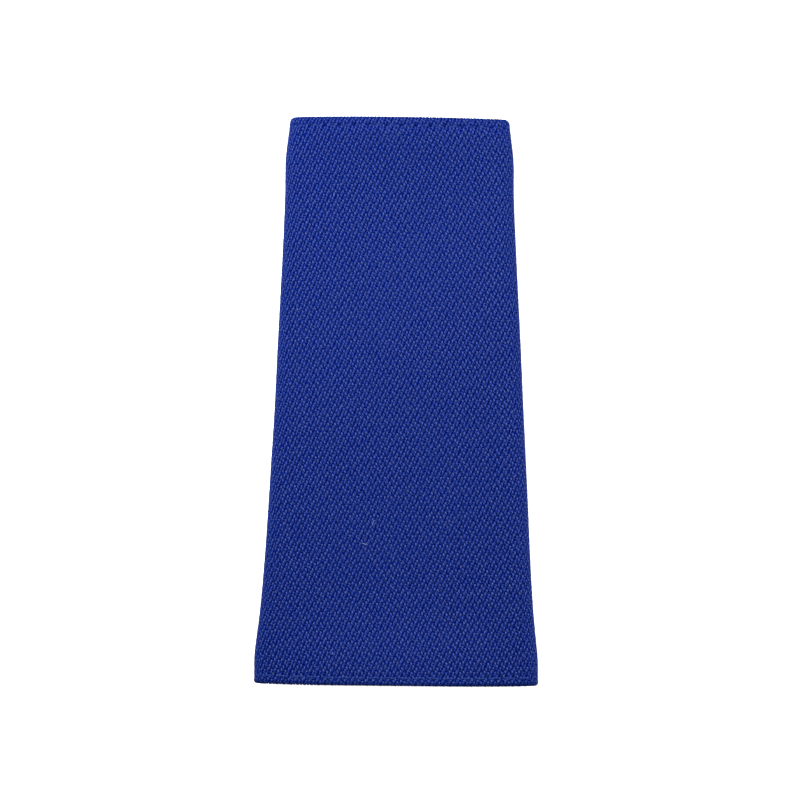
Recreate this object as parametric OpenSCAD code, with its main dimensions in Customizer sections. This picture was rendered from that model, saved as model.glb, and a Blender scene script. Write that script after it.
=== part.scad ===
// Slip-on cloth sleeve for a uniform's shoulder strap, in millimetres.
// It lies on its back: X across, Y along the length with the narrow mouth at +Y, Z up.

/* [Sleeve] */
// Length from mouth edge to mouth edge
sleeve_l = 110; // [90:1:130]
// Width across the wide end
wide_w = 55; // [50:0.5:62]
// Width across the narrow mouth
narrow_w = 42.5; // [38:0.5:48]
// Height of the folded sides
fold_h = 7; // [6.2:0.1:8]
// Rise of the front above its folds in the middle of the sleeve
crown = 0.8; // [0.3:0.1:2]
// Further rise of the front at each sprung mouth
mouth_lift = 2.2; // [1.5:0.1:4]
// Thickness of the cloth
cloth_t = 1; // [1:0.05:1.3]

/* [Hems] */
// How far the turned-in cloth reaches past the rolled edge
hem_reach = 4; // [2:0.5:8]
// Clearance between the turned-in cloth and the wall it lies against
hem_gap = 0.1; // [0.05:0.05:0.3]
// Distance from the rolled edge to the stitched line at the narrow mouth
narrow_stitch_in = 0.55; // [0.4:0.05:3]
// Distance from the rolled edge to the stitched line at the wide mouth
wide_stitch_in = 0.75; // [0.4:0.05:3]
// Depth to which the stitches pull the cloth in
stitch_dip = 0.2; // [0.1:0.05:0.4]
// Width of the dip along each stitched line
stitch_w = 0.7; // [0.4:0.1:0.8]

/* [Back seam] */
// Width of the seam down the middle of the back
seam_w = 1.6; // [1:0.1:3]
// Depth of the seam's groove
seam_dip = 0.35; // [0.2:0.05:0.5]

/* [Hidden] */

// Sections from the wide mouth to the narrow one. Columns: place as a share of
// sleeve_l, width as a share of the way from narrow_w to wide_w, share of mouth_lift.
SECTIONS = [
  [0.000, 1.000, 1.00],
  [0.045, 1.000, 0.80],
  [0.060, 0.980, 0.68],
  [0.080, 0.940, 0.50],
  [0.100, 0.900, 0.32],
  [0.135, 0.840, 0.13],
  [0.180, 0.780, 0.03],
  [0.240, 0.710, 0.00],
  [0.320, 0.635, 0.00],
  [0.410, 0.545, 0.00],
  [0.500, 0.455, 0.00],
  [0.590, 0.380, 0.00],
  [0.680, 0.300, 0.00],
  [0.770, 0.220, 0.00],
  [0.830, 0.170, 0.05],
  [0.870, 0.145, 0.15],
  [0.920, 0.145, 0.45],
  [0.940, 0.115, 0.64],
  [0.960, 0.070, 0.82],
  [0.980, 0.025, 0.93],
  [1.000, 0.000, 1.00],
];
WIDTHS = [for (s = SECTIONS) [s[0], s[1]]];
LIFTS = [for (s = SECTIONS) [s[0], s[2]]];

// How sharply the front's arch falls to its folds
ARCH_POWER = 2.5;
FOLD_STEPS = 8;
FRONT_STEPS = 14;
BACK_STEPS = 3;
ROLL_STEPS = 6;

cloth_color = [0.13, 0.20, 0.50];
fold_r = fold_h / 2;
// At a mouth the cloth rolls inwards round this radius, over its thickness and the gap
roll_r = cloth_t + hem_gap / 2;
roll_y = sleeve_l / 2 - roll_r;
wide_stitch_y = wide_stitch_in - roll_y;
narrow_stitch_y = roll_y - narrow_stitch_in;

function share(y) = y / sleeve_l + 0.5;
function half_width(y) = (narrow_w + (wide_w - narrow_w) * lookup(share(y), WIDTHS)) / 2;
function rise(y) = crown + mouth_lift * lookup(share(y), LIFTS);

// One section at y, as points that lie depth inside the sleeve's outer surface.
// It runs round the right fold, over the front, round the left fold and along the back.
function section(y, depth) =
  let (
    fold_x = half_width(y) - fold_r,
    lean = atan(ARCH_POWER * rise(y) / fold_x),
    front_x = fold_x + fold_r * sin(lean),
    front_z = fold_r + fold_r * cos(lean),
    back_x = function(i) fold_x + (seam_w / 2 - fold_x) * i / BACK_STEPS
  )
  [
    for (i = [0:FOLD_STEPS])
      let (a = -90 + (180 - lean) * i / FOLD_STEPS)
      [fold_x + (fold_r - depth) * cos(a), y, fold_r + (fold_r - depth) * sin(a)],
    for (i = [1:FRONT_STEPS - 1])
      let (
        u = 1 - 2 * i / FRONT_STEPS,
        tilt = atan(ARCH_POWER * rise(y) / front_x * pow(abs(u), ARCH_POWER - 1))
      )
      [
        front_x * u - sign(u) * depth * sin(tilt),
        y,
        front_z + rise(y) * (1 - pow(abs(u), ARCH_POWER)) - depth * cos(tilt)
      ],
    for (i = [0:FOLD_STEPS])
      let (a = 90 + lean + (180 - lean) * i / FOLD_STEPS)
      [-fold_x + (fold_r - depth) * cos(a), y, fold_r + (fold_r - depth) * sin(a)],
    for (i = [1:BACK_STEPS])
      [-back_x(i), y, depth],
    [0, y, max(depth, seam_dip)],
    for (i = [BACK_STEPS:-1:1])
      [back_x(i), y, depth],
  ];

// A closed tube of cloth whose wall has this outline, a loop of [y, depth] points
module cloth_tube(outline) {
  around = len(section(0, 0));
  rings = len(outline);
  points = [for (p = outline) each section(p[0], p[1])];
  faces = [
    for (r = [0:rings - 1], i = [0:around - 1])
      let (
        a = r * around + i,
        b = r * around + (i + 1) % around,
        c = (r + 1) % rings * around + i,
        d = (r + 1) % rings * around + (i + 1) % around
      )
      each [[a, b, d], [a, d, c]],
  ];
  polyhedron(points, faces, convexity = 6);
}

// A stretch of wall surface at this depth, from one place along the sleeve to another
function skin(from, to, depth) =
  let (
    low = min(from, to),
    high = max(from, to),
    rows = [for (s = SECTIONS) let (y = (s[0] - 0.5) * sleeve_l) if (y > low && y < high) y],
    last = len(rows) - 1
  )
  [
    [from, depth],
    for (i = [0:1:last]) [rows[from < to ? i : last - i], depth],
    [to, depth],
  ];

// The rolled edge of a mouth: end is 1 at the narrow mouth and -1 at the wide one
function roll(end) = [
  for (i = [0:ROLL_STEPS])
    let (a = 90 - end * 90 + end * 180 * i / ROLL_STEPS)
    [end * (roll_y + roll_r * sin(a)), roll_r - roll_r * cos(a)],
];

module sleeve() {
  color(cloth_color)
    cloth_tube([
      [wide_stitch_y, stitch_dip],
      each skin(wide_stitch_y + stitch_w / 2, narrow_stitch_y - stitch_w / 2, 0),
      [narrow_stitch_y, stitch_dip],
      each roll(1),
      each skin(roll_y, -roll_y, cloth_t),
      each roll(-1),
    ]);
}

// The turned-in cloth of a mouth: end is 1 at the narrow mouth and -1 at the wide one
module hem(end) {
  mouth_y = end * (roll_y - hem_gap);
  inner_y = end * (roll_y - hem_reach);
  color(cloth_color)
    cloth_tube([
      each skin(inner_y, mouth_y, cloth_t + hem_gap),
      each skin(mouth_y, inner_y, 2 * roll_r),
    ]);
}

module narrow_hem() {
  hem(1);
}

module wide_hem() {
  hem(-1);
}

sleeve();
narrow_hem();
wide_hem();
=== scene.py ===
"""A plain royal-blue cloth sleeve for a uniform's shoulder strap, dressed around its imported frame.

The cloth is a thin wall with the yarns of its twill laid on it one by one. A place on the cloth is
given as s, the way round the section from the middle of the front, and q, the way along the sleeve
from its middle, which runs on over the rolled mouths to the hems inside. Lengths are in millimetres
until a mesh is made.
"""
import math

import bpy
import numpy as np
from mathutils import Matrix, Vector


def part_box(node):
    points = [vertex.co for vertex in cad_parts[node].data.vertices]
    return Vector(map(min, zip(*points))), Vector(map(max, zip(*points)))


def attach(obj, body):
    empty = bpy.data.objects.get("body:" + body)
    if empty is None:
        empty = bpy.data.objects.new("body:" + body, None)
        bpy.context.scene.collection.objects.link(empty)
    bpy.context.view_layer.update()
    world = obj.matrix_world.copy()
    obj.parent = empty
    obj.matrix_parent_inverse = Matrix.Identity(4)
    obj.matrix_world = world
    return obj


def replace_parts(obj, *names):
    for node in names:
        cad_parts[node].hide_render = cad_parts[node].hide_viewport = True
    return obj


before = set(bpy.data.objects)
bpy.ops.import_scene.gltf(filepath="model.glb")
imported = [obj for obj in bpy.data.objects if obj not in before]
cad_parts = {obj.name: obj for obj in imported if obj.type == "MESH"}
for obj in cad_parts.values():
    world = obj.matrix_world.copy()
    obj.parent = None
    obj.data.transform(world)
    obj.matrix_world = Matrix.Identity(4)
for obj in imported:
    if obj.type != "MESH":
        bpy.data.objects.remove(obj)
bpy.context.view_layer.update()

MM = 0.001
BODY = "root"
SEED = 11

# The sleeve's form, as its solids have it
sleeve_low, sleeve_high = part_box("sleeve")
LENGTH = (sleeve_high.y - sleeve_low.y) / MM
WIDE_W = 55.0
NARROW_W = 42.5
FOLD_H = 7.0
CROWN = 0.8
MOUTH_LIFT = 2.2
ARCH_POWER = 2.5
CLOTH_T = 1.0
HEM_GAP = 0.1
HEM_REACH = 4.0
FOLD_R = FOLD_H / 2
ROLL_R = CLOTH_T + HEM_GAP / 2
ROLL_Y = LENGTH / 2 - ROLL_R
ROLL_END = ROLL_Y + math.pi * ROLL_R
HEM_END = ROLL_END + HEM_REACH

# Sections from the wide mouth to the narrow one. Columns: place as a share of the length,
# width as a share of the way from NARROW_W to WIDE_W, share of MOUTH_LIFT.
SECTIONS = np.array([
    [0.000, 1.000, 1.00],
    [0.045, 1.000, 0.80],
    [0.060, 0.980, 0.68],
    [0.080, 0.940, 0.50],
    [0.100, 0.900, 0.32],
    [0.135, 0.840, 0.13],
    [0.180, 0.780, 0.03],
    [0.240, 0.710, 0.00],
    [0.320, 0.635, 0.00],
    [0.410, 0.545, 0.00],
    [0.500, 0.455, 0.00],
    [0.590, 0.380, 0.00],
    [0.680, 0.300, 0.00],
    [0.770, 0.220, 0.00],
    [0.830, 0.170, 0.05],
    [0.870, 0.145, 0.15],
    [0.920, 0.145, 0.45],
    [0.940, 0.115, 0.64],
    [0.960, 0.070, 0.82],
    [0.980, 0.025, 0.93],
    [1.000, 0.000, 1.00],
])

# How the cloth departs from that form as it lies. Columns: place as a share of the length, how
# far the left fold bows outwards and how far the right one does.
BOW = np.array([
    [0.00, 0.10, 0.06],
    [0.06, 0.17, 0.02],
    [0.15, 0.00, 0.04],
    [0.30, -0.13, 0.15],
    [0.45, -0.14, 0.19],
    [0.60, 0.00, 0.15],
    [0.75, 0.05, 0.06],
    [0.90, 0.20, -0.02],
    [1.00, 0.20, -0.06],
])
# The mouths are cut a little out of square, the narrow one twice as much, their corners lie back
# a little, and the wide mouth's rolled edge is fuller at its corners
SKEW = -0.004
CORNER_BACK = 0.14
CORNER_FULL = 0.4
CORNER_W = 1.5

# The two ends of the sleeve, as the sign of y there
NARROW, WIDE = 1, -1
SIDES = {NARROW: "narrow", WIDE: "wide"}
MOUTHS = {NARROW: "narrow_hem", WIDE: "wide_hem"}

# The back seam, and the low swells of the front with the strip along each fold that has no dips
SEAM_W = 1.6
SEAM_DIP = 0.35
SWELL = 0.10
SWELL_REACH = 1.15
FOLD_CLEAR = 3.5

# Stitched lines: how far in from the roll they run, the length of a stitch, the dip along them
# and the needle holes. The nearest floats give way to a hole and the next are shorter.
STITCH_IN = {NARROW: 0.85, WIDE: 0.75}
STITCH_PITCH = 2.92
STITCH_DIP = {NARROW: 0.16, WIDE: 0.08}
STITCH_DIP_W = 0.40
HOLE_DIP = {NARROW: 0.56, WIDE: 0.20}
HOLE_R = 0.34
BARE_R = 0.18
HOLE_SHORT = 0.4

# Sewing thread: its radius, how low it lies, how much shorter than a stitch it shows, how its
# ends dive and thin, and how far it sways
THREAD_R = {NARROW: 0.11, WIDE: 0.13}
THREAD_SINK = {NARROW: 0.06, WIDE: 0.07}
THREAD_SHORT = {NARROW: 0.7, WIDE: 0.2}
THREAD_DIVE = 0.42
THREAD_TAPER = 0.35
THREAD_SWAY = 0.06
THREAD_POINTS = 11

# Walls under the yarns: their columns round the girth, and how far they lie below the cloth's face
WALL_COLUMNS = 340
BAND_COLUMNS = 240
GROUND_DROP = 0.28

# Twill: its repeat is four warp ends across and four picks along. The field of yarns that is
# laid reaches a little past the cloth each way.
END_PITCH = 0.336
PICK_PITCH = 0.469
FIELD_S, FIELD_Q = 60, 65
SEAM_CLEAR = 0.2
# The warp floats of a repeat. Columns: place along in picks, shift across, length, lean in degrees.
FLOATS = np.array([
    [-0.08, 0.00, 1.48, 8.0],
    [-1.28, 0.02, 1.40, 8.0],
    [-3.27, 0.00, 1.44, 5.0],
    [-2.06, 0.01, 1.30, 2.0],
])
REPEAT = len(FLOATS)
LONGEST = 1.6
WARP_W = 0.46
WARP_T = 0.26
WARP_SINK = 0.02
# Between the floats of an end, the weft crosses it a little lower
WEFT_L = 0.56
WEFT_W = 0.27
WEFT_T = 0.18
WEFT_SINK = 0.14
# How floats stray across and along: together with their neighbours, and each on its own
DRIFT_S, DRIFT_Q = 0.026, 0.040
STRAY_S, STRAY_Q = 0.007, 0.018
STRAY_HEADING = 1.5
# How floats differ in fullness, height and tone
FULLNESS_VARY = 0.03
CREST_VARY = 0.01
TONE, TONE_VARY = 0.5, 0.045
# Rings along a float. Columns: place as a share of its half length, fullness, drop of its crest.
WARP_RINGS = np.array([
    [-0.76, 0.86, 0.04],
    [0.00, 1.00, 0.00],
    [0.76, 0.86, 0.04],
])
WEFT_RINGS = np.array([
    [0.00, 1.00, 0.00],
])
WARP = (WARP_RINGS, WARP_W, WARP_T, WARP_SINK)
WEFT = (WEFT_RINGS, WEFT_W, WEFT_T, WEFT_SINK)
# A float's section. Columns: share of its half width, share of its thickness under the crest,
# gloss, which its smooth top has and its matt flanks lack.
FLOAT_SECTION = np.array([
    [1.0, 1.0, 0.0],
    [0.58, 0.1, 1.0],
    [-0.58, 0.1, 1.0],
    [-1.0, 1.0, 0.0],
])

# Fuzz: loose fibres that start among the yarns, arch up and thin out
FUZZ_COUNT = 500
FUZZ_R = 0.010
FUZZ_LENGTHS = (0.35, 1.0)
FUZZ_CURL = 0.5
FUZZ_ROOT = -0.08
FUZZ_RISE = 0.32
FUZZ_ARCH = 0.62
FUZZ_TAPER = np.array([1.0, 1.0, 0.8, 0.5, 0.3])

# Lint: short bent bits on the front. Columns: x, y, length, turn in degrees.
LINT_R = 0.035
LINT_BEND = 0.12
LINT_TAPER = 0.6
LINT_HEIGHT = 0.03
LINT_POINTS = 6
LINT = np.array([
    [-12.6, 39.7, 0.50, 70.0],
    [-12.2, -48.6, 0.60, 80.0],
    [-4.6, -23.5, 1.50, 65.0],
    [-6.4, -27.6, 1.20, -20.0],
    [21.9, -1.7, 0.50, 40.0],
    [-19.6, 17.6, 0.45, 100.0],
])
# A direction that no strand runs along
ASKEW = [0.3, 0.5, 0.81]

# The tables of the form are read on a fine grid, with their corners rounded over a few of its steps
GRID_POINTS = 441
FORM_WINDOW = np.hanning(17)
BOW_WINDOW = np.hanning(51)


def smooth_rows(table, column, window):
    """One column of a table on a fine, even grid of shares, with its corners rounded."""
    shares = np.linspace(0, 1, GRID_POINTS)
    values = np.interp(shares, table[:, 0], table[:, column])
    padded = np.pad(values, len(window) // 2, mode="reflect", reflect_type="odd")
    return shares, np.convolve(padded, window / window.sum(), mode="valid")


WIDTHS = smooth_rows(SECTIONS, 1, FORM_WINDOW)
LIFTS = smooth_rows(SECTIONS, 2, FORM_WINDOW)
BOW_LEFT = smooth_rows(BOW, 1, BOW_WINDOW)
BOW_RIGHT = smooth_rows(BOW, 2, BOW_WINDOW)


def section(y):
    """The section at y: where its folds turn, how far the front leans into them, where the front
    starts and how high it rises."""
    share = np.clip(y / LENGTH + 0.5, 0, 1)
    width = NARROW_W + (WIDE_W - NARROW_W) * np.interp(share, *WIDTHS)
    rise = CROWN + MOUTH_LIFT * np.interp(share, *LIFTS)
    fold_x = width / 2 - FOLD_R
    lean = np.arctan(ARCH_POWER * rise / fold_x)
    front_x = fold_x + FOLD_R * np.sin(lean)
    return fold_x, lean, front_x, rise


def half_girth(y):
    """Half the way round the sleeve's outside at y, from the middle of the front to the seam."""
    fold_x, lean, front_x, _ = section(y)
    return front_x + FOLD_R * (math.pi - lean) + fold_x


def fold_middle(y):
    """The way from the middle of the front to the outermost line of a fold at y."""
    _, lean, front_x, _ = section(y)
    return front_x + FOLD_R * (math.pi / 2 - lean)


def along(q):
    """For a place q along the cloth: its y, its depth and how far the cloth has rolled there."""
    reach = np.abs(q)
    turn = np.clip((reach - ROLL_Y) / ROLL_R, 0, math.pi)
    past = np.maximum(reach - ROLL_END, 0)
    y = np.sign(q) * (np.minimum(reach, ROLL_Y) + ROLL_R * np.sin(turn) - past)
    return y, ROLL_R * (1 - np.cos(turn)), turn


# The waves whose mean is the cloth's unevenness. Columns: shares of s, of q and of the phase.
WAVES = (
    (1.00, 0.31, 1.0),
    (0.43, -0.93, 2.1),
    (-0.71, 1.37, 3.7),
)


def wander(s, q, scale, phase):
    """A smooth, repeatable unevenness of the cloth, from about -1 to 1."""
    a, b = s / scale, q / scale
    return sum(np.sin(of_s * a + of_q * b + turn * phase) for of_s, of_q, turn in WAVES) / len(WAVES)


def near(distance, reach):
    """1 at no distance, falling to 0 about two reaches away."""
    return np.exp(-((distance / reach) ** 2))


def stitch_lines(end):
    """Where a mouth's stitches run along the cloth: outside on the face and inside on the hem."""
    return end * (ROLL_Y - STITCH_IN[end]), end * (ROLL_END + STITCH_IN[end])


def from_hole(s, q, line):
    """Distance to the nearest needle hole on a line of stitches."""
    across = (s / STITCH_PITCH + 0.5) % 1 * STITCH_PITCH - STITCH_PITCH / 2
    return np.hypot(across, q - line)


def relief(s, q):
    """Height of the cloth's dips and swells over its plain form."""
    girth = half_girth(along(q)[0])
    dip = SEAM_DIP * np.clip(1 - (girth - np.abs(s)) / (SEAM_W / 2), 0, 1)
    off_fold = 1 - near(np.abs(s) - fold_middle(along(q)[0]), FOLD_CLEAR)
    for end in MOUTHS:
        for line in stitch_lines(end):
            pull = STITCH_DIP[end] * near(q - line, STITCH_DIP_W)
            hole = HOLE_DIP[end] * near(from_hole(s, q, line), HOLE_R)
            dip = dip + (pull + hole) * off_fold
    on_front = np.clip(SWELL_REACH - np.abs(s) / (girth / 2), 0, 1)
    return SWELL * on_front * (wander(s, q, scale=9.0, phase=0.4) - 1) - dip


def plain_point(way, y):
    """The plain form at y, this way round from the middle of the front: x and z on the right half,
    and the direction out of the cloth."""
    fold_x, lean, front_x, rise = section(y)
    fold_l = FOLD_R * (math.pi - lean)
    on_front = way < front_x
    on_back = way > front_x + fold_l

    u = np.minimum(way / front_x, 1)
    front_angle = math.pi / 2 - np.arctan(ARCH_POWER * rise / front_x * u ** (ARCH_POWER - 1))
    fold_angle = math.pi / 2 - lean - (way - front_x) / FOLD_R
    angle = np.where(on_front, front_angle, np.where(on_back, -math.pi / 2, fold_angle))
    out_x, out_z = np.cos(angle), np.sin(angle)
    x = np.where(on_front, front_x * u, fold_x + FOLD_R * out_x)
    x = np.where(on_back, fold_x - (way - front_x - fold_l), x)
    front_z = FOLD_R * (1 + np.cos(lean)) + rise * (1 - u ** ARCH_POWER)
    z = np.where(on_front, front_z, FOLD_R * (1 + out_z))
    return x, z, out_x, out_z


def cloth_point(s, q, height):
    """Points of the cloth at a height over its face. The dips fade out through its thickness."""
    y, depth, turn = along(q)
    x, z, out_x, out_z = plain_point(np.abs(s), y)
    lift = height + relief(s, q) * np.clip(1 + height / CLOTH_T, 0, 1)
    corner = np.where(q < 0, CORNER_FULL, 0.0) * near(np.abs(s) - fold_middle(y), CORNER_W)
    out = lift * np.cos(turn) - depth + corner * np.sin(turn)

    side = np.where(s < 0, -1.0, 1.0)
    share = y / LENGTH + 0.5
    bow = np.where(s < 0, np.interp(share, *BOW_LEFT), np.interp(share, *BOW_RIGHT))
    fold_x = section(y)[0]
    x = side * (x + out_x * out) * (1 + bow / (fold_x + FOLD_R))
    back = CORNER_BACK * (2 * y / LENGTH) * (2 * x / WIDE_W) ** 2
    return np.stack([
        x,
        y + np.sign(q) * lift * np.sin(turn) + SKEW * (1 + share) / 2 * x - back,
        z + out_z * out,
    ], axis=-1)


def add_piece(name, points, corners, material, slot, flat=None, tones=None):
    """A smooth mesh from points in millimetres and faces with equal numbers of corners.

    flat gives each corner's place on the cloth, and tones hold named values for each point."""
    mesh = bpy.data.meshes.new(name)
    count, sides = corners.shape
    mesh.vertices.add(len(points))
    mesh.vertices.foreach_set("co", (points * MM).astype(np.float32).ravel())
    mesh.loops.add(corners.size)
    mesh.loops.foreach_set("vertex_index", corners.astype(np.int32).ravel())
    mesh.polygons.add(count)
    mesh.polygons.foreach_set("loop_start", (np.arange(count) * sides).astype(np.int32))
    mesh.polygons.foreach_set("use_smooth", np.ones(count, bool))
    if flat is not None:
        layer = mesh.uv_layers.new(name="cloth")
        layer.data.foreach_set("uv", flat.astype(np.float32).ravel())
    for key, values in (tones or {}).items():
        layer = mesh.attributes.new(key, "FLOAT", "POINT")
        layer.data.foreach_set("value", values.astype(np.float32))
    mesh.update(calc_edges=True)
    mesh.materials.append(material)
    piece = bpy.data.objects.new(name, mesh)
    bpy.context.scene.collection.objects.link(piece)
    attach(piece, BODY)
    return piece


def spread(low, high, step):
    """Even places from low to high, about a step apart."""
    return np.linspace(low, high, max(2, round(abs(high - low) / step) + 1))


def tube_of_cloth(name, outline, columns, material, slot):
    """A closed wall round the sleeve, whose cut edge is this outline of [q, height] rows."""
    rows = len(outline)
    shares = np.linspace(-1, 1, columns + 1)
    q = outline[:, :1] + 0 * shares
    s = shares * half_girth(along(q)[0])
    points = cloth_point(s, q, outline[:, 1:] + 0 * q)[:, :-1].reshape(-1, 3)

    row, column = np.meshgrid(np.arange(rows), np.arange(columns), indexing="ij")
    turns = [(0, 0), (0, 1), (1, 1), (1, 0)]
    corners = [(row + r) % rows * columns + (column + c) % columns for r, c in turns]
    flat = [np.stack([s, q], axis=-1)[(row + r) % rows, column + c] for r, c in turns]
    return add_piece(
        name,
        points,
        np.stack(corners, axis=-1).reshape(-1, 4),
        material,
        slot,
        flat=np.stack(flat, axis=2),
    )


def sleeve_wall(material):
    """The one wall of the sleeve: its face, both rolled mouths and its inner side."""
    at_stitches = 2.0
    plain = spread(-ROLL_Y + at_stitches, ROLL_Y - at_stitches, step=0.8)
    near_mouth = spread(ROLL_Y - at_stitches, ROLL_Y, step=0.2)[1:]
    face = np.concatenate([-near_mouth[::-1], plain, near_mouth])
    roll = spread(ROLL_Y, ROLL_END, step=0.3)[1:]
    inside = spread(ROLL_Y, -ROLL_Y, step=2.0)
    rows = [[q, -GROUND_DROP] for q in face]
    rows += [[q, -GROUND_DROP] for q in roll]
    rows += [[ROLL_END, -CLOTH_T]]
    rows += [[q, -CLOTH_T] for q in inside]
    rows += [[-ROLL_END, -CLOTH_T]]
    rows += [[-q, -GROUND_DROP] for q in roll[::-1]]
    outline = np.array(rows)
    piece = tube_of_cloth("sleeve_wall", outline, WALL_COLUMNS, material, "sleeve_cloth")
    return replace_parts(piece, "sleeve")


def hem_band(end, material):
    """The turned-in band of a mouth, between the roll's inner end and the hem's raw edge."""
    places = end * spread(ROLL_END + HEM_GAP, HEM_END, step=0.4)
    rows = [[q, -GROUND_DROP] for q in places]
    rows += [[q, -CLOTH_T] for q in places[::-1]]
    outline = np.array(rows if end == NARROW else rows[::-1])
    piece = tube_of_cloth(MOUTHS[end] + "_band", outline, BAND_COLUMNS, material, "hem_cloth")
    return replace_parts(piece, MOUTHS[end])


def even_weave(weft):
    """The floats of the warp or the weft over the whole field, before they stray: their middles as
    s and q, their lengths and their headings in degrees from q towards s."""
    ends = int(FIELD_S / END_PITCH)
    repeats = int(FIELD_Q / (REPEAT * PICK_PITCH))
    end, repeat = np.meshgrid(np.arange(-ends, ends), np.arange(-repeats, repeats))
    end, repeat = end.ravel(), repeat.ravel()
    picks, shift, length, heading = FLOATS[end % REPEAT].T
    if weft:
        picks = picks + REPEAT / 2
        length = np.full_like(length, WEFT_L)
        heading = np.full_like(heading, 90)
    s = (end + 0.5) * END_PITCH + shift
    q = (REPEAT * repeat + picks) * PICK_PITCH
    return s, q, length, heading


def float_places(weft):
    """Every float of the warp or the weft, out to the raw edges of both hems: its middle as s and
    q, its length, its heading, and how its tone departs from the mean."""
    s, q, length, heading = even_weave(weft)
    rng = np.random.default_rng(SEED + weft)
    uneven = rng.normal(size=(4, len(s)))
    s = s + DRIFT_S * wander(s, q, scale=0.9, phase=1.1) + STRAY_S * uneven[0]
    q = q + DRIFT_Q * wander(s, q, scale=0.8, phase=2.3) + STRAY_Q * uneven[1]
    heading = heading + STRAY_HEADING * uneven[2]

    to_holes = np.min([from_hole(s, q, line) for line in stitch_lines(NARROW)], axis=0)
    length = length * (1 - HOLE_SHORT * near(to_holes, 2 * BARE_R))
    girth = half_girth(along(q)[0])
    in_cloth = (np.abs(s) < girth - SEAM_CLEAR) & (np.abs(q) < HEM_END - LONGEST / 2)
    kept = in_cloth & (to_holes > BARE_R)
    return np.stack([s, q, length, heading, uneven[3]])[:, kept]


def spindles(rings, tips):
    """Points and triangles of closed bodies, each a row of rings between two tips.

    The rings run round clockwise as seen along the row."""
    count, stations, sides, _ = rings.shape
    points = np.concatenate([rings.reshape(count, -1, 3), tips], axis=1)
    first_tip, last_tip = stations * sides, stations * sides + 1
    last_ring = (stations - 1) * sides
    triangles = []
    for k in range(sides):
        after = (k + 1) % sides
        triangles += [[first_tip, k, after], [last_tip, last_ring + after, last_ring + k]]
        for ring in range(0, last_ring, sides):
            a, b = ring + k, ring + after
            triangles += [[a, a + sides, b + sides], [a, b + sides, b]]
    corners = np.array(triangles) + points.shape[1] * np.arange(count)[:, None, None]
    return points.reshape(-1, 3), corners.reshape(-1, 3)


def strands(paths, radii, sides):
    """Points and triangles of round strands along paths of equal numbers of points."""
    run = np.gradient(paths, axis=1)
    run /= np.linalg.norm(run, axis=-1, keepdims=True)
    across = np.cross(run, ASKEW)
    across /= np.linalg.norm(across, axis=-1, keepdims=True)
    upright = np.cross(run, across)
    angles = -2 * math.pi * np.arange(sides)[:, None] / sides
    spokes = across[:, :, None] * np.cos(angles) + upright[:, :, None] * np.sin(angles)
    rings = paths[:, :, None] + spokes * radii[:, None, None]
    return spindles(rings[:, 1:-1], paths[:, [0, -1]])


def float_bodies(floats, stations, width, thick, sink):
    """Points and triangles of floats, each a flattened spindle that dips at its two ends."""
    s, q, length, heading, tone = floats[:, :, None, None]
    ahead, aside = np.sin(np.radians(heading)), np.cos(np.radians(heading))
    place, fullness, drop = stations.T[:, None, :, None]
    off, under, _ = FLOAT_SECTION.T
    full = fullness * (1 + FULLNESS_VARY * tone)
    run = place * length / 2
    off = width / 2 * full * off
    crest = CREST_VARY * np.clip(tone, -2, 1) - sink
    rings = cloth_point(
        s + ahead * run + aside * off,
        q + aside * run - ahead * off,
        crest - drop - thick * full * under,
    )
    run = length * [-0.5, 0.5]
    tips = cloth_point(s + ahead * run, q + aside * run, crest - thick + 0 * run)
    return spindles(rings, tips[:, 0])


def add_floats(name, warp, weft, material, slot):
    """One joined mesh of warp floats and the bits of weft between them."""
    points, corners, shade, gloss = [], [], [], []
    for floats, form in ((warp, WARP), (weft, WEFT)):
        bodies, triangles = float_bodies(floats, *form)
        corners.append(triangles + sum(len(p) for p in points))
        points.append(bodies)
        count = floats.shape[1]
        shade.append(np.repeat(TONE + TONE_VARY * floats[4], len(bodies) // count))
        on_tips = [0, 0]
        on_body = np.append(np.tile(FLOAT_SECTION[:, 2], len(form[0])), on_tips)
        gloss.append(np.tile(on_body, count))
    joined = [np.concatenate(rows) for rows in (points, corners)]
    tones = {"shade": np.concatenate(shade), "gloss": np.concatenate(gloss)}
    return add_piece(name, *joined, material, slot, tones=tones)


def cloth_part(floats, end, part):
    """Those floats that lie on one part of one half of the sleeve: its front, back or hem."""
    s, q = floats[:2]
    in_hem = np.abs(q) > ROLL_END + LONGEST / 2
    in_front = np.abs(s) < fold_middle(along(q)[0])
    parts = {"front": in_front & ~in_hem, "back": ~in_front & ~in_hem, "hem": in_hem}
    return floats[:, parts[part] & (q * end > 0)]


def twill(material):
    """The weave of the whole face, joined into pieces by the part of the sleeve that they cover."""
    warp, weft = float_places(weft=False), float_places(weft=True)
    pieces = []
    for end, side in SIDES.items():
        for part in ("front", "back", "hem"):
            name = f"{side}_{part}_twill"
            slot = "hem_cloth" if part == "hem" else "sleeve_cloth"
            halves = [cloth_part(floats, end, part) for floats in (warp, weft)]
            pieces.append(add_floats(name, *halves, material, slot))
    return pieces


def to_ends(steps, power):
    """0 in the middle of a strand and 1 at both its ends, for steps from -0.5 to 0.5."""
    return np.abs(2 * steps) ** power


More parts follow.
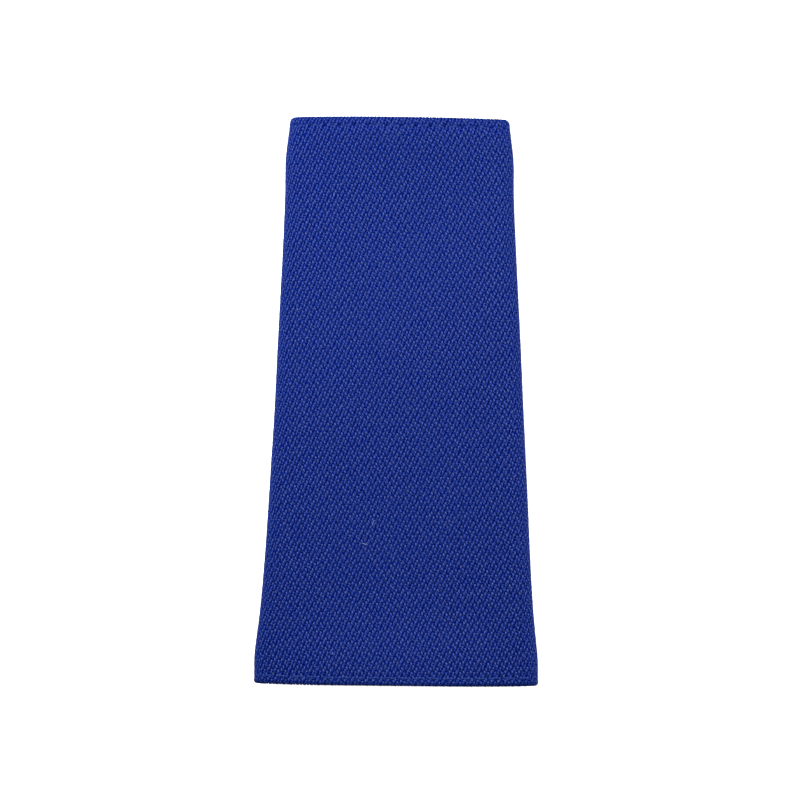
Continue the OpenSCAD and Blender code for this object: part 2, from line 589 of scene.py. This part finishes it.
def hem_thread(end, material):
    """The lockstitches of a hem, outside on the face and inside on the turned-in cloth."""
    steps = np.linspace(-0.5, 0.5, THREAD_POINTS)
    paths = []
    for line in stitch_lines(end):
        stitches = int(half_girth(along(line)[0]) / STITCH_PITCH - 0.5)
        middles = (np.arange(-stitches, stitches) + 0.5) * STITCH_PITCH
        s = middles[:, None] + steps * (STITCH_PITCH - THREAD_SHORT[end])
        height = -THREAD_SINK[end] - THREAD_DIVE * to_ends(steps, power=5)
        paths.append(cloth_point(s, line + THREAD_SWAY * np.sin(3 * s), height + 0 * s))
    radii = THREAD_R[end] * (1 - THREAD_TAPER * to_ends(steps, power=4))
    points, corners = strands(np.concatenate(paths), radii, sides=7)
    return add_piece(MOUTHS[end] + "_thread", points, corners, material, "sleeve_cloth")


def fuzz(material):
    """Fine loose fibres that stand off the yarns of the front, the folds and the mouths."""
    rng = np.random.default_rng(SEED + 1)
    q = rng.uniform(-ROLL_END, ROLL_END, FUZZ_COUNT)
    s = rng.uniform(-1, 1, FUZZ_COUNT) * fold_middle(along(q)[0])
    turn = rng.uniform(0, 2 * math.pi, FUZZ_COUNT)
    length = rng.uniform(*FUZZ_LENGTHS, FUZZ_COUNT)
    curl = rng.normal(0, FUZZ_CURL, FUZZ_COUNT)
    steps = np.linspace(0, 1, len(FUZZ_TAPER))
    heading = turn[:, None] + curl[:, None] * steps
    reach = length[:, None] * steps
    height = FUZZ_ROOT + FUZZ_RISE * length[:, None] * np.sin(math.pi * FUZZ_ARCH * steps)
    paths = cloth_point(
        s[:, None] + reach * np.cos(heading),
        q[:, None] + reach * np.sin(heading),
        height,
    )
    points, corners = strands(paths, FUZZ_R * FUZZ_TAPER, sides=3)
    return add_piece("fuzz", points, corners, material, "sleeve_cloth")


def lint(material):
    """A few short bits of lint caught on the front."""
    steps = np.linspace(-0.5, 0.5, LINT_POINTS)
    x, y, length, turn = LINT.T[:, :, None]
    bend = LINT_BEND * length * np.cos(math.pi * steps)
    ahead, aside = np.cos(np.radians(turn)), np.sin(np.radians(turn))
    s = x + length * steps * ahead - bend * aside
    q = y + length * steps * aside + bend * ahead
    paths = cloth_point(s, q, LINT_HEIGHT + 0 * s)
    radii = LINT_R * (1 - LINT_TAPER * to_ends(steps, power=3))
    points, corners = strands(paths, radii, sides=5)
    return add_piece("lint", points, corners, material, "sleeve_cloth")


class Shader:
    """A material's node tree with short ways to add nodes and join them."""

    def __init__(self, name):
        self.material = bpy.data.materials.new(name)
        self.material.use_nodes = True
        self.tree = self.material.node_tree
        self.surface = self.tree.nodes["Principled BSDF"]

    def node(self, kind, links=None, **settings):
        """A node of this kind, with its settings made and its inputs set or joined."""
        made = self.tree.nodes.new(kind)
        for key, value in settings.items():
            setattr(made, key, value)
        for key, value in (links or {}).items():
            self.set(made, key, value)
        return made

    def set(self, node, key, value):
        """Joins an input to another node's output, or sets it to a value."""
        if isinstance(value, bpy.types.NodeSocket):
            self.tree.links.new(value, node.inputs[key])
        else:
            node.inputs[key].default_value = value

    def noise(self, place, scale, detail=2.0):
        """A noise from 0 to 1 over a place."""
        inputs = {"Vector": place, "Scale": scale, "Detail": detail}
        return self.node("ShaderNodeTexNoise", inputs).outputs["Fac"]

    def math(self, operation, first, second):
        """The result of an operation on two numbers or outputs. A sine takes the first alone."""
        return self.node("ShaderNodeMath", {0: first, 1: second}, operation=operation).outputs[0]

    def blend(self, share, low, high):
        """A colour between two, by a share."""
        made = self.node("ShaderNodeMix", data_type="RGBA")
        self.set(made, "Factor", share)
        self.set(made, 6, low)
        self.set(made, 7, high)
        return made.outputs[2]

    def bump(self, height, distance, strength):
        """Bumps the surface by a height from 0 to 1, which stands for a distance in metres."""
        inputs = {"Height": height, "Distance": distance, "Strength": strength}
        self.set(self.surface, "Normal", self.node("ShaderNodeBump", inputs).outputs["Normal"])

    def finish(self, **values):
        """Sets the surface's other values and gives the material."""
        for key, value in values.items():
            self.set(self.surface, key.replace("_", " "), value)
        return self.material


# Yarn: the length of a ply's turn and how far a float's tone shifts it, how strongly the plies, as
# painted light and shade of their turns, and the fibres show in the colour, how strongly both show
# in the gloss, and the mean gloss
PLY_PITCH = 0.70
PLY_SHIFT = 60.0
PLY_SHADE_SHOW = 0.52
FIBRE_SHOW = 0.9
YARN_GLINT = 0.42
YARN_GLOSS = 0.26
# Ground: how strongly its ribs show beside its fibres, in its bump and in its colour as painted
# shade in their troughs
RIB_RELIEF_AND_SHADE = 0.25
# Loose fibre: the share of its colour that its darker stretches have
DARKER = 0.7

DEEP_BLUE = (0.0018, 0.0160, 0.198, 1)
BRIGHT_BLUE = (0.0036, 0.0285, 0.212, 1)
# The ground's colours are the cloth's own blue made darker than the yarn's: painted shade between
# the floats
SHADED_GROUND_DARK = (0.0008, 0.0050, 0.150, 1)
SHADED_GROUND_LIGHT = (0.0014, 0.0090, 0.195, 1)
THREAD_BLUE = (0.0060, 0.0450, 0.240, 1)
LINT_GREY = (0.34, 0.42, 0.80, 1)
FUZZ_BLUE = (0.05, 0.08, 0.32, 1)


def yarn_material(name, dark, light):
    """Twisted yarn: each float its own tone, with the turns of its plies across it as painted light
    and shade in its colour, and in its gloss.
    """
    shader = Shader(name)
    place = shader.node("ShaderNodeTexCoord").outputs["Object"]
    split = shader.node("ShaderNodeSeparateXYZ", {0: place})
    tone = shader.node("ShaderNodeAttribute", attribute_name="shade").outputs["Fac"]
    slant = shader.math("ADD", split.outputs[0], split.outputs[1])
    ply_turn = shader.math("MULTIPLY", slant, 2 * math.pi / (PLY_PITCH * MM))
    turns = shader.math("ADD", ply_turn, shader.math("MULTIPLY", tone, PLY_SHIFT))
    # The plies' turns are painted into the colour as light and shade, beside the random tone of the
    # fibres
    ply_shading = shader.math("MULTIPLY", shader.math("SINE", turns, 0.0), PLY_SHADE_SHOW)
    fibres = shader.math("SUBTRACT", shader.noise(place, scale=2200.0, detail=1.0), 0.5)
    texture = shader.math("ADD", ply_shading, shader.math("MULTIPLY", fibres, FIBRE_SHOW))
    share = shader.math("ADD", tone, texture)
    shader.set(shader.surface, "Base Color", shader.blend(share, dark, light))
    on_top = shader.node("ShaderNodeAttribute", attribute_name="gloss").outputs["Fac"]
    shine = shader.math("ADD", shader.math("MULTIPLY", texture, YARN_GLINT), YARN_GLOSS)
    gloss = shader.math("MULTIPLY", on_top, shader.math("MAXIMUM", shine, 0.0))
    return shader.finish(Roughness=0.46, Specular_IOR_Level=gloss)


def ground_material(name, dark, light):
    """The cloth under the floats: picks that run across it, in the shade of the warp. Its colours
    carry painted shade, darker than the yarn's, and the waves of its ribs and of the gaps between
    ends darken the colour in their troughs as painted shade while also bumping it.
    """
    shader = Shader(name)
    place = shader.node("ShaderNodeTexCoord").outputs["UV"]
    split = shader.node("ShaderNodeSeparateXYZ", {0: place})
    pick = shader.math("MULTIPLY", split.outputs[1], 2 * math.pi / PICK_PITCH)
    rib = shader.math("SINE", pick, 0.0)
    end = shader.math("MULTIPLY", split.outputs[0], 2 * math.pi / END_PITCH)
    gap = shader.math("SINE", end, 0.0)
    rib_bump_and_shade = shader.math("MULTIPLY", shader.math("ADD", rib, gap), RIB_RELIEF_AND_SHADE)
    fibre = shader.noise(place, scale=7.0)
    height = shader.math("ADD", rib_bump_and_shade, fibre)
    # The colour follows that height: painted shade in the troughs of ribs and gaps, and random tone
    # from the fibres
    shader.set(shader.surface, "Base Color", shader.blend(height, dark, light))
    shader.bump(height, distance=0.00010, strength=0.9)
    return shader.finish(Roughness=0.9, Specular_IOR_Level=0.0)


def thread_material():
    """Twisted sewing thread, a little smoother than the cloth."""
    shader = Shader("sewing_thread")
    place = shader.node("ShaderNodeTexCoord").outputs["Object"]
    twist = shader.node("ShaderNodeTexWave", {"Vector": place, "Scale": 2600.0, "Distortion": 2.0})
    share = twist.outputs["Fac"]
    shader.set(shader.surface, "Base Color", shader.blend(share, DEEP_BLUE, THREAD_BLUE))
    shader.bump(share, distance=0.00003, strength=0.6)
    return shader.finish(Roughness=0.5, Specular_IOR_Level=0.25)


def fibre_material(name, colour):
    """Loose fibre in one colour that varies a little along it."""
    shader = Shader(name)
    place = shader.node("ShaderNodeTexCoord").outputs["Object"]
    share = shader.noise(place, scale=2500.0)
    dark = tuple(DARKER * c for c in colour[:3]) + (1,)
    shader.set(shader.surface, "Base Color", shader.blend(share, dark, colour))
    return shader.finish(Roughness=0.6, Specular_IOR_Level=0.3)


# Camera: its height in metres, its place over the sleeve and the width of its view at the height
# where the folds are widest in millimetres, and its roll in degrees
CAMERA_HEIGHT = 0.8
CAMERA_X, CAMERA_Y = 0.32, 0.31
VIEW_W = 155.0
CAMERA_ROLL = 0.45
SENSOR = 36.0

# Floor: half its side in metres, the glow that keeps it white in the picture, and its paper
FLOOR_HALF = 1.6
FLOOR_GLOW = 0.95
PAPER_GREY = (0.93, 0.93, 0.93, 1)
PAPER_WHITE = (0.95, 0.95, 0.95, 1)

# Lights: places and sizes in metres
WHITE = (1, 1, 1, 1)
WORLD_STRENGTH = 0.21
KEY_PLACE = (-0.080, 0.168, 0.205)
KEY_SIZE = 0.20
KEY_WATTS = 0.88
FILLS = {"left_fill": ((-0.28, 0.06, 0.11), 0.70), "right_fill": ((0.28, 0.06, 0.11), 0.95)}
FILL_SIZE = 0.16


def floor_material():
    """Plain white paper."""
    shader = Shader("floor_paper")
    place = shader.node("ShaderNodeTexCoord").outputs["Object"]
    share = shader.noise(place, scale=900.0)
    shader.set(shader.surface, "Base Color", shader.blend(share, PAPER_GREY, PAPER_WHITE))
    return shader.finish(
        Roughness=0.9,
        Specular_IOR_Level=0.1,
        Emission_Color=WHITE,
        Emission_Strength=FLOOR_GLOW,
    )


def floor():
    """A plain pale floor at the sleeve's back. It throws no light of its own on the sleeve."""
    corners = [(-1, -1), (1, -1), (1, 1), (-1, 1)]
    mesh = bpy.data.meshes.new("floor")
    mesh.from_pydata([(FLOOR_HALF * x, FLOOR_HALF * y, 0) for x, y in corners], [], [(0, 1, 2, 3)])
    mesh.materials.append(floor_material())
    plane = bpy.data.objects.new("floor", mesh)
    plane.visible_diffuse = False
    plane.visible_glossy = False
    bpy.context.scene.collection.objects.link(plane)


def camera():
    """The camera, straight above and a little turned, as the sleeve lies in the picture."""
    data = bpy.data.cameras.new("camera")
    data.sensor_width = SENSOR
    data.lens = SENSOR * (CAMERA_HEIGHT - FOLD_R * MM) / (VIEW_W * MM)
    taken = bpy.data.objects.new("camera", data)
    taken.location = (CAMERA_X * MM, CAMERA_Y * MM, CAMERA_HEIGHT)
    taken.rotation_euler = (0, 0, math.radians(CAMERA_ROLL))
    bpy.context.scene.collection.objects.link(taken)
    bpy.context.scene.camera = taken


def softbox(name, place, size, watts):
    """A square light aimed at the sleeve's middle."""
    data = bpy.data.lights.new(name, "AREA")
    data.size = size
    data.energy = watts
    lamp = bpy.data.objects.new(name, data)
    lamp.location = place
    lamp.rotation_euler = lamp.location.to_track_quat("Z", "Y").to_euler()
    bpy.context.scene.collection.objects.link(lamp)


def lights():
    """White light from all round, a soft one over the narrow mouth and a low one at each side."""
    world = bpy.data.worlds.new("studio")
    world.use_nodes = True
    background = world.node_tree.nodes["Background"]
    background.inputs["Color"].default_value = WHITE
    background.inputs["Strength"].default_value = WORLD_STRENGTH
    bpy.context.scene.world = world
    bpy.context.scene.view_settings.view_transform = "Standard"
    softbox("key_light", KEY_PLACE, KEY_SIZE, KEY_WATTS)
    for name, (place, watts) in FILLS.items():
        softbox(name, place, FILL_SIZE, watts)


def sleeve():
    """All pieces of the sleeve."""
    yarn = yarn_material("twill_yarn", DEEP_BLUE, BRIGHT_BLUE)
    ground = ground_material("twill_ground_shaded", SHADED_GROUND_DARK, SHADED_GROUND_LIGHT)
    thread = thread_material()
    wall = sleeve_wall(ground)
    bands = [hem_band(end, ground) for end in MOUTHS]
    yarns = twill(yarn)
    threads = [hem_thread(end, thread) for end in MOUTHS]
    loose = fuzz(fibre_material("fuzz_fibre", FUZZ_BLUE))
    caught = lint(fibre_material("lint_fibre", LINT_GREY))


camera()
lights()
floor()
sleeve()
